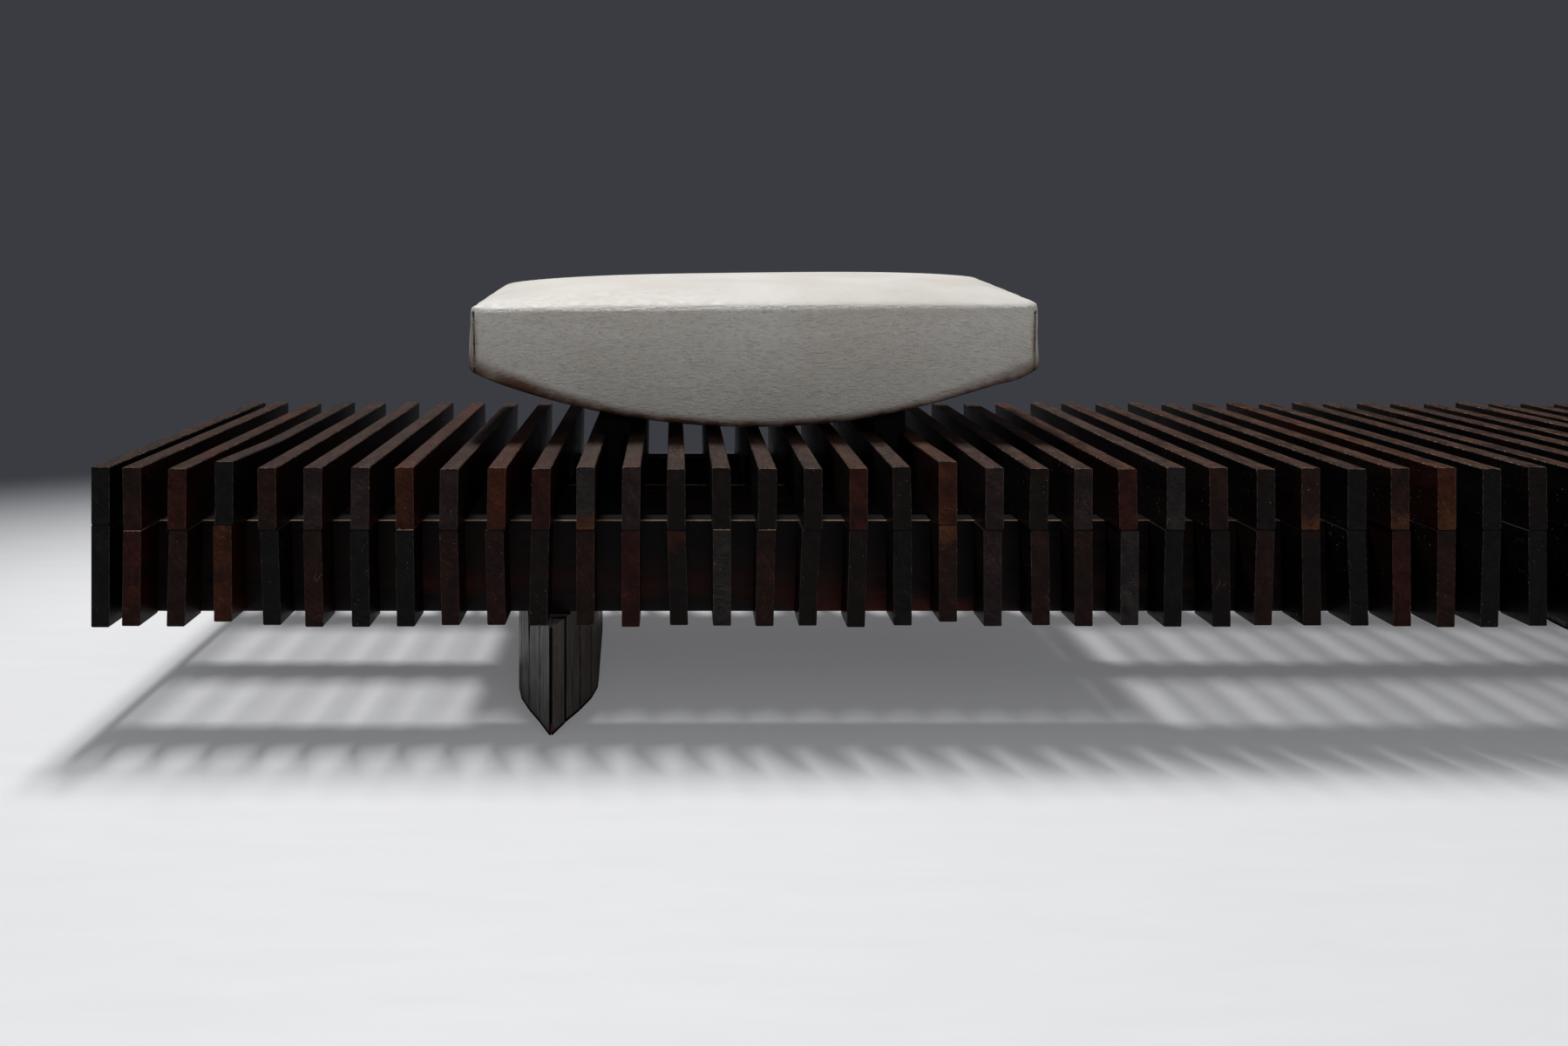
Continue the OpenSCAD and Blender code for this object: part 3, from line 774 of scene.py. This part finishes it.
def cushion_section(x):
    """One closed loop round the cushion at x from its middle: underside, rear, crowned top, front."""
    outward = abs(x) / REACH
    half = HALF_D - SWELL - rolled(x, CORNER_ROLL)
    low = under_at(x) + rolled(x, FOOT_ROLL) * 0.7 + TILT * x / 2
    foot = low + FOOT_ROLL
    lift = CORNER_LIFT * max(0, (outward - CORNER_START) / (1 - CORNER_START)) ** 2
    front = TOP_EDGE - rolled(x, TOP_ROLL) + TILT * x + lift
    rear = TOP_EDGE - rolled(x, TOP_ROLL) + RISE + REAR_TILT * x - REAR_DIP
    # The roll between the sides and the top is fuller near the ends
    full = max(0, 1 - (REACH - abs(x)) / FULL_END) ** 2
    shoulder = (5 + 6 * full) * MM
    top_half = half - (3 + 4 * full) * MM

    def side(share, top):
        """A point of the rear side, some share of the way up; its middle is drawn in."""
        return half - DRAW_IN * math.sin(math.pi * share), foot + (top - shoulder - foot) * share

    shares = [k / SIDE_STEPS for k in range(SIDE_STEPS + 1)]
    loop = [(y, low) for y in np.linspace(-half + FOOT_ROLL, half - FOOT_ROLL, UNDER_POINTS)]
    loop += [side(share, rear) for share in shares]
    for k in range(TOP_STEPS + 1):
        v = math.cos(math.pi * k / TOP_STEPS)
        crown = CROWN * (max(0, (1 - outward ** 3) * (1 - abs(v) ** 3.2))) ** 0.6
        loop.append((top_half * v, front + (rear - front) * (v + 1) / 2 + crown))
    loop += [(-y, z) for y, z in (side(share, front) for share in reversed(shares))]
    return [(SEAT_X + x, SEAT_Y + y, z) for y, z in loop]


def cushion_shell():
    """The cushion's closed form before it is filled."""
    angles = [math.pi / 2 * (2 * k / LENGTH_STEPS - 1) for k in range(LENGTH_STEPS + 1)]
    loops = [cushion_section(REACH * math.sin(angle)) for angle in angles]
    return new_piece("seat_leatherette", skinned(loops, triangles=True))


def pocket_block():
    """What the curved board takes up inside the cushion, with a little room round it."""
    reach = (BASE_HIGH.x - BASE_LOW.x) / 2 + POCKET_GAP
    deep = (BASE_HIGH.y - BASE_LOW.y) / 2 + POCKET_GAP
    low = SEAT_FOOT - POCKET_DEPTH
    loops = []
    for x in np.linspace(-reach, reach, POCKET_LOOPS):
        top = under_at(x, BOARD_RISE + BOARD_THICK + POCKET_GAP)
        loop = ((-deep, low), (deep, low), (deep, top), (-deep, top))
        loops.append([(SEAT_X + x, SEAT_Y + y, z) for y, z in loop])
    return new_piece("pocket_block", skinned(loops))


# Filling of the cushion

VOXEL = 4.5 * MM
HELD_BAND = 4 * MM
MOMENTS = 20
MOST_SWELL = 2.5 * MM
# The lower edge is a rounded square of this size and power in its section
FOOT_SPAN = 9 * MM
FOOT_POWER = 3.6
RIM_DROP = 4.5 * MM
RIM_WIDTH = 18 * MM
RIM_HEIGHT = 45 * MM
NOTHING = 1e-9


def fill(piece):
    """Blows the cover up a little from inside; the part round the board is held."""
    before = corners(piece.data)
    x = np.clip(before[:, 0] - SEAT_X, -HALF_W, HALF_W)
    held = before[:, 2] < under_at(x) + HELD_BAND
    group = piece.vertex_groups.new(name="held")
    group.add([int(i) for i in np.nonzero(held)[0]], 1, "REPLACE")
    cloth = piece.modifiers.new("filling", "CLOTH")
    cover = cloth.settings
    cover.quality, cover.mass = 6, 0.3
    cover.tension_stiffness = cover.compression_stiffness = 20
    cover.shear_stiffness, cover.bending_stiffness = 12, 2
    cover.use_pressure, cover.uniform_pressure_force = True, 4
    cover.vertex_group_mass, cover.pin_stiffness = "held", 1
    cover.effector_weights.gravity = 0
    cloth.point_cache.frame_start, cloth.point_cache.frame_end = 1, MOMENTS
    for moment in range(1, MOMENTS + 1):
        bpy.context.scene.frame_set(moment)
    moved = corners(with_modifiers(piece).to_mesh()) - before
    far = np.linalg.norm(moved, axis=1, keepdims=True)
    moved *= np.minimum(1, MOST_SWELL / np.maximum(far, NOTHING))
    piece.modifiers.clear()
    piece.vertex_groups.clear()
    bpy.context.scene.frame_set(1)
    move_corners(piece.data, before + moved)


def shape_foot(piece):
    """Pulls the lower edges at front and rear out again, and lets the cover hang below the board there."""
    spots = corners(piece.data)
    x = np.clip(spots[:, 0] - SEAT_X, -HALF_W, HALF_W)
    y = spots[:, 1] - SEAT_Y
    in_face = HALF_D - np.abs(y)
    up = spots[:, 2] - under_at(x) - TILT * x / 2
    off_y, off_z = FOOT_SPAN - in_face, FOOT_SPAN - up
    reach = np.hypot(off_y, off_z)
    powers = np.maximum(off_y, 0) ** FOOT_POWER + np.maximum(off_z, 0) ** FOOT_POWER + 1e-20
    wanted = FOOT_SPAN * reach / powers ** (1 / FOOT_POWER)
    ends = np.clip((HALF_W - 4 * MM - np.abs(x)) / (12 * MM), 0, 1)
    near = (off_y > 0) & (off_z > 0) & (wanted > reach)
    push = np.where(near, (wanted / np.maximum(reach, NOTHING) - 1) * ends, 0)
    spots[:, 1] += np.sign(y) * off_y * push
    spots[:, 2] -= off_z * push
    # The hanging rim is deep on the left and in the middle, slight on the right, and puffed at that end
    share = x / HALF_W
    drop = np.interp(share, (-1, -0.9, 0.3, 0.75, 1), (0.45, 0.75, 0.9, 0.15, 0.4))
    drop += 0.6 * np.exp(-((share - 0.93) / 0.05) ** 2)
    rim = np.clip((RIM_WIDTH - in_face) / (RIM_WIDTH / 2), 0, 1)
    low = np.clip((RIM_HEIGHT - up) / RIM_HEIGHT, 0, 1)
    spots[:, 2] -= RIM_DROP * drop * rim ** 2 * (3 - 2 * rim) * low
    move_corners(piece.data, spots)


# Seams of the cushion

SEAM_IN_FACE = 1 * MM
# How far below the top's edge a seam ends, and above the underside's end it starts
SEAM_TOP = 13 * MM
SEAM_FOOT = 3 * MM
# How far from the cushion's end a seam lies at its foot and at its head
SEAM_LOW_IN, SEAM_HIGH_IN = 5.2 * MM, 3 * MM
SEAM_WAVER = 0.7 * MM
GROOVE_DEEP, GROOVE_WIDE = 1.5 * MM, 1.1 * MM
SWELL_HIGH, SWELL_AT, SWELL_WIDE = 0.7 * MM, 3.5 * MM, 2 * MM
PINHOLE_DEEP, PINHOLE_WIDE, PINHOLE_TALL = 3.2 * MM, 1.7 * MM, 2.6 * MM


def seam_lines():
    """Foot and head of the seams, which lie on the front and the rear close to each upright corner."""
    lines = []
    for side in (-1, 1):
        for end in (-1, 1):
            y = SEAT_Y + end * (HALF_D - SEAM_IN_FACE)
            high = TOP_EDGE + (RISE if end > 0 else 0) - SEAM_TOP + side * TILT * HALF_W
            foot = Vector((SEAT_X + side * (HALF_W - SEAM_LOW_IN), y, SEAT_FOOT + SAG + SEAM_FOOT))
            lines.append((foot, Vector((SEAT_X + side * (HALF_W - SEAM_HIGH_IN), y, high))))
    return lines


def seam_x(foot, head, z):
    """The seam wavers a little on its way up."""
    share = (z - foot.z) / (head.z - foot.z)
    return foot.x + (head.x - foot.x) * share + SEAM_WAVER * math.sin(7 * share + 40 * foot.x)


def sew_corners(piece):
    """Draws the cover in along its corner seams, and puckers it where they end."""
    mesh = bmesh.new()
    mesh.from_mesh(piece.data)
    for foot, head in seam_lines():
        near = [e for e in mesh.edges if foot.z - 10 * MM < e.verts[0].co.z < head.z + 10 * MM
                and abs(e.verts[0].co.y - foot.y) < 7 * MM and abs(e.verts[0].co.x - foot.x) < 10 * MM]
        bmesh.ops.subdivide_edges(mesh, edges=near, cuts=2, use_grid_fill=True)
    for foot, head in seam_lines():
        inward = 1 if foot.y < SEAT_Y else -1
        for vert in mesh.verts:
            place = vert.co
            if abs(place.y - foot.y) > 9 * MM or abs(place.x - foot.x) > 16 * MM:
                continue
            if not foot.z - 20 * MM < place.z < head.z + 20 * MM:
                continue
            run = min(1, max(0, (place.z - foot.z) / (4 * MM)))
            run *= min(1, max(0, (head.z - place.z) / (3 * MM)))
            across = place.x - seam_x(foot, head, min(head.z, max(foot.z, place.z)))
            groove = GROOVE_DEEP * run * math.exp(-(across / GROOVE_WIDE) ** 2)
            swell = SWELL_HIGH * run * math.exp(-((abs(across) - SWELL_AT) / SWELL_WIDE) ** 2)
            over = (place.z - head.z) / PINHOLE_TALL
            hole = PINHOLE_DEEP * math.exp(-(across / PINHOLE_WIDE) ** 2 - over ** 2)
            vert.co.y += inward * (groove + hole - swell)
    mesh.to_mesh(piece.data)
    mesh.free()


def make_cushion():
    """The sewn cover, filled, seamed and puckered, with a pocket for the curved board."""
    piece = cushion_shell()
    remesh = piece.modifiers.new("cover cloth", "REMESH")
    remesh.mode, remesh.voxel_size = "VOXEL", VOXEL
    smooth = piece.modifiers.new("relax", "SMOOTH")
    smooth.iterations, smooth.factor = 2, 0.5
    apply_modifiers(piece)
    fill(piece)
    shape_foot(piece)
    finer = piece.modifiers.new("finer cover", "SUBSURF")
    finer.levels = finer.render_levels = 1
    apply_modifiers(piece)
    sew_corners(piece)
    block = pocket_block()
    cut = piece.modifiers.new("pocket", "BOOLEAN")
    cut.operation, cut.object, cut.solver = "DIFFERENCE", block, "EXACT"
    apply_modifiers(piece)
    bpy.data.meshes.remove(block.data)
    shade_smooth(piece)
    return piece


# Stitches in the corner seams

STITCH_PITCH = 2.8 * MM
STITCH_LENGTH = 2.1 * MM
STITCH_THICK = 0.55 * MM
STITCH_SLANT = 0.3 * MM
STITCH_ASIDE = 1.1 * MM
STITCH_OUT = 0.15 * MM


def cover_y(spots, foot, z):
    """Where the cover's front or rear lies beside a seam at the height z."""
    spots = spots[(np.abs(spots[:, 2] - z) < 4 * MM) & (np.abs(spots[:, 1] - foot.y) < 9 * MM)]
    gap = np.hypot(spots[:, 0] - foot.x + math.copysign(3 * MM, foot.x - SEAT_X), spots[:, 2] - z)
    return float(spots[gap.argmin(), 1])


def make_stitches(spots):
    """The corner seams' stitches: short slanted threads, each with rounded ends."""
    mesh = bmesh.new()
    for foot, head in seam_lines():
        outward = -1 if foot.y < SEAT_Y else 1
        for k in range(int((head.z - foot.z - 3 * MM) / STITCH_PITCH)):
            z = foot.z + 2 * MM + k * STITCH_PITCH
            x = seam_x(foot, head, z) - math.copysign(STITCH_ASIDE, foot.x - SEAT_X)
            middle = Vector((x, cover_y(spots, foot, z) + outward * STITCH_OUT, z))
            for vert in bmesh.ops.create_icosphere(mesh, subdivisions=2, radius=1)["verts"]:
                a, b, c = vert.co
                thread = (a * STITCH_THICK + c * STITCH_SLANT, b * STITCH_THICK, c * STITCH_LENGTH / 2)
                vert.co = middle + Vector(thread)
    piece = new_piece("corner_stitches", mesh)
    shade_smooth(piece)
    return piece


# Finishes of the cushion

# Where the lower edge is dirtiest, from the cushion's middle
STAINED_AT = -276 * MM
# Heights of the seams' heads and their pinholes above the underside's curve
SEAM_RISE = 70 * MM
PINHOLE_AT = 68 * MM


def cover_creases(tree, place, to_end):
    """Creases that lie level, cross each other at a low angle, and bend up towards the seams."""
    bend = times(tree, eased(tree, to_end, 70 * MM, 0), 12 * MM)
    bent = reckon_vector(tree, "ADD", place, put(tree, "CombineXYZ", {2: bend}))
    bent = reckon_vector(tree, "ADD", bent, drift(tree, 90, 3, 6 * MM, Vector=place))
    folds = cloud(tree, stretched(tree, bent, 0.2, 0.2, 1), 400, 2, 0.5, 0.4)
    fine = cloud(tree, stretched(tree, bent, 0.4, 0.4, 1), 1000, 1, 0.5, 0.3)
    return plus(tree, folds, times(tree, fine, 0.5))


def cover_colour(tree, place, upward, creases):
    """Cream with slow mottling, painted shade in the creases, and a few brown spots; the top is painted
    darker than the sides as painted light.
    """
    slow = eased(tree, cloud(tree, place, 9, 3, 0.55), 0.35, 0.68)
    # Painted light: the sides are painted lighter and the top darker, to even out how the lamps light them
    sides_painted_lighter = mixed(tree, slow, shade(224, 218, 208), shade(231, 226, 219))
    top = mixed(tree, slow, shade(200, 195, 187), shade(208, 204, 198))
    colour = mixed(tree, upward, sides_painted_lighter, top)
    # Painted shade in the creases, deeper on the sides than on the top
    crease_shade = times(tree, eased(tree, creases, 0.72, 0.56), eased(tree, upward, 0, 1, 0.32, 0.05))
    colour = mixed(tree, crease_shade, colour, shade(160, 148, 136))
    spots = eased(tree, cloud(tree, place, 240, 2, 0.5), 0.8, 0.83, 0, 0.6)
    return mixed(tree, spots, colour, shade(110, 88, 70))


def cover_dirt_and_shade(tree, colour, smudge, above, rightward, to_end):
    """Brown dirt along the lower edge: a wide band, most where it is stained, and a dark rim of painted
    shade where the edge turns under.
    """
    reach = eased(tree, to_end, 0, 220 * MM, 21 * MM, 9 * MM)
    share = reckon(tree, "DIVIDE", above, reach)
    band = times(tree, fading(tree, share, 0.1, 1.15), eased(tree, smudge, 0.3, 0.7, 0.8, 1.15))
    stain = eased(tree, apart(tree, rightward, STAINED_AT), 15 * MM, 60 * MM, 1.3, 1)
    band = times(tree, times(tree, band, stain), 0.85, clamp=True)
    colour = mixed(tree, band, colour, shade(112, 78, 58))
    # Painted shade: the dark rim where the lower edge turns under
    rim = times(tree, fading(tree, share, -0.3, 0.45), eased(tree, smudge, 0.35, 0.6, 0.5, 1))
    return mixed(tree, times(tree, rim, 0.92), colour, shade(60, 34, 24))


def cover_seams(tree, colour, smudge, above, to_end, to_face):
    """Darkening in the corners, the dark line of each seam, and painted shade in the hole at its head."""
    # Darker towards the upright corners, below the top
    corner = fading(tree, reckon(tree, "MAXIMUM", to_end, to_face), 2 * MM, 13 * MM)
    corner_darkening = times(tree, corner, eased(tree, above, 78 * MM, 50 * MM))
    corner_darkening = times(tree, corner_darkening, eased(tree, smudge, 0.4, 0.6, 0.3, 1))
    colour = mixed(tree, times(tree, corner_darkening, 0.55), colour, shade(132, 102, 76))
    line = eased(tree, above, 0, SEAM_RISE, SEAM_LOW_IN, SEAM_HIGH_IN)
    seam = fading(tree, apart(tree, to_end, line), 0.4 * MM, 2.2 * MM)
    in_face = eased(tree, to_face, 12 * MM, 6 * MM)
    seam = times(tree, seam, times(tree, in_face, eased(tree, above, 73 * MM, 69 * MM)))
    colour = mixed(tree, times(tree, seam, 0.95), colour, shade(52, 34, 24))
    # Painted shade in the pinhole at the seam's head
    hole = times(tree, fading(tree, apart(tree, above, PINHOLE_AT), 1.2 * MM, 2.8 * MM), seam)
    return mixed(tree, hole, colour, shade(16, 10, 8))


def leatherette_paint(tree):
    """Cream leatherette: fine level creases with painted shade in them, mottling, brown dirt at the lower
    edge and the seams, darkening in the corners, and painted shade under the lower edge and in the
    pinholes; the top is painted darker than the sides.
    """
    place = where(tree)
    from_middle = reckon_vector(tree, "SUBTRACT", place, (SEAT_X, SEAT_Y, UNDER_Z))
    radius = reckon_vector(tree, "LENGTH", stretched(tree, from_middle, 1, 0, 1), out="Value")
    above = minus(tree, UNDER_R, radius)
    off_x, off_y, _ = parts(tree, reckon_vector(tree, "ABSOLUTE", from_middle))
    to_end = minus(tree, HALF_W, off_x)
    to_face = minus(tree, HALF_D, off_y)
    upward = eased(tree, facing(tree)[2], 0.4, 0.85)
    smudge = cloud(tree, stretched(tree, place, 1, 1, 0.7), 30, 4, 0.6)
    creases = cover_creases(tree, place, to_end)
    colour = cover_colour(tree, place, upward, creases)
    colour = cover_dirt_and_shade(tree, colour, smudge, above, parts(tree, from_middle)[0], to_end)
    colour = cover_seams(tree, colour, smudge, above, to_end, to_face)
    relief = times(tree, creases, eased(tree, upward, 0, 1, 1, 0.15))
    gloss = eased(tree, creases, 0.55, 1.05, 0.66, 0.5)
    return {"Base Color": colour, "Roughness": gloss, "Normal": raised(tree, relief, 1.0, 2.6 * MM)}


def thread_paint(tree):
    """Cream thread, dirty in places."""
    dirt = cloud(tree, where(tree), 300, 3)
    colour = mixed(tree, eased(tree, dirt, 0.4, 0.65), shade(236, 222, 194), shade(168, 142, 112))
    return {"Base Color": colour}


cushion = make_cushion()
cushion.data.materials.append(material("cream leatherette", leatherette_paint, Specular_IOR_Level=0.35))
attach(cushion, "seat")
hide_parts("seat_cushion")

stitches = make_stitches(corners(cushion.data))
stitches.data.materials.append(material("seam thread", thread_paint, Roughness=0.7))
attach(stitches, "seat")


# Floor, light and camera

FLOOR_HALF = 12
BACKDROP = shade(58, 60, 65)


def floor_paint(tree):
    """Pale grey floor, faintly clouded."""
    cloudy = cloud(tree, stretched(tree, where(tree), 0.2, 1, 1), 30, 4, 0.6)
    return {"Base Color": mixed(tree, cloudy, shade(222, 222, 224), shade(232, 232, 234))}


def fade_out(finish):
    """Far from the bench the floor runs out into the backdrop's grey, for the eye alone."""
    tree = finish.node_tree
    x, y, _ = parts(tree, where(tree))
    behind = reckon(tree, "MAXIMUM", y, times(tree, y, -0.3))
    flat = put(tree, "CombineXYZ", {0: times(tree, x, 0.55), 1: behind})
    far = reckon_vector(tree, "LENGTH", flat, out="Value")
    rays = put(tree, "LightPath").node.outputs
    seen = reckon(tree, "MAXIMUM", rays["Is Camera Ray"], rays["Is Glossy Ray"])
    share = times(tree, eased(tree, far, 0.7, 1.8), seen)
    grey = put(tree, "Emission", {"Color": BACKDROP})
    lit = tree.nodes["Principled BSDF"].outputs[0]
    # For the eye alone, the shadows on the floor are a little lighter than the lamps leave them
    glow = put(tree, "Emission", {"Color": shade(226, 227, 230)})
    lit = put(tree, "MixShader", {0: times(tree, rays["Is Camera Ray"], 0.15), 1: lit, 2: glow})
    last = tree.nodes["Material Output"].inputs["Surface"]
    tree.links.new(put(tree, "MixShader", {0: share, 1: lit, 2: grey}), last)


def make_floor():
    data = bpy.data.meshes.new("floor")
    square = [(x * FLOOR_HALF, y * FLOOR_HALF, 0) for x, y in ((-1, -1), (1, -1), (1, 1), (-1, 1))]
    data.from_pydata(square, [], [(0, 1, 2, 3)])
    piece = add_object("floor", data)
    finish = material("pale floor", floor_paint, Roughness=0.5, Specular_IOR_Level=0.3)
    fade_out(finish)
    data.materials.append(finish)


def make_world():
    """Soft grey light all round; the camera and glossy faces see the backdrop's grey."""
    world = bpy.data.worlds.new("studio")
    bpy.context.scene.world = world
    world.use_nodes = True
    tree = world.node_tree
    tree.nodes.clear()
    rays = put(tree, "LightPath").node.outputs
    seen = reckon(tree, "MAXIMUM", rays["Is Camera Ray"], rays["Is Glossy Ray"])
    seen = reckon(tree, "MAXIMUM", seen, rays["Is Transmission Ray"])
    light = put(tree, "Background", {"Color": shade(235, 238, 242), "Strength": 0.22})
    wall = put(tree, "Background", {"Color": BACKDROP, "Strength": 1.0})
    mix = put(tree, "MixShader", {0: seen, 1: light, 2: wall})
    put(tree, "OutputWorld", {"Surface": mix}, out=slice(0, 0))


def lamp(name, place, target, width, height, watts):
    """A soft lamp that looks at its target."""
    data = bpy.data.lights.new(name, "AREA")
    data.shape, data.size, data.size_y, data.energy = "RECTANGLE", width, height, watts
    piece = add_object(name, data)
    piece.location = place
    piece.rotation_euler = (Vector(target) - Vector(place)).to_track_quat("-Z", "Y").to_euler()


def make_camera():
    """The photograph's view: level, from in front and a little to the left, with the frame shifted down."""
    data = bpy.data.cameras.new("camera")
    data.lens, data.sensor_width = 32.6, 36
    data.shift_x, data.shift_y = 0.0703, -0.185
    data.clip_start, data.clip_end = 0.05, 60
    piece = add_object("camera", data)
    piece.location = (-0.5775, -1.866, 0.554)
    piece.rotation_euler = (math.radians(90), 0, 0)
    bpy.context.scene.camera = piece


make_floor()
make_world()
lamp("overhead softbox", (-1.2, 2.6, 6.2), (-0.3, 0, 0.2), 1.1, 1.6, 480)
lamp("front fill", (0.4, -4.2, 2.4), (-0.3, 0, 0.3), 3.0, 2.0, 20)
make_camera()
bpy.context.scene.view_settings.view_transform = "Standard"
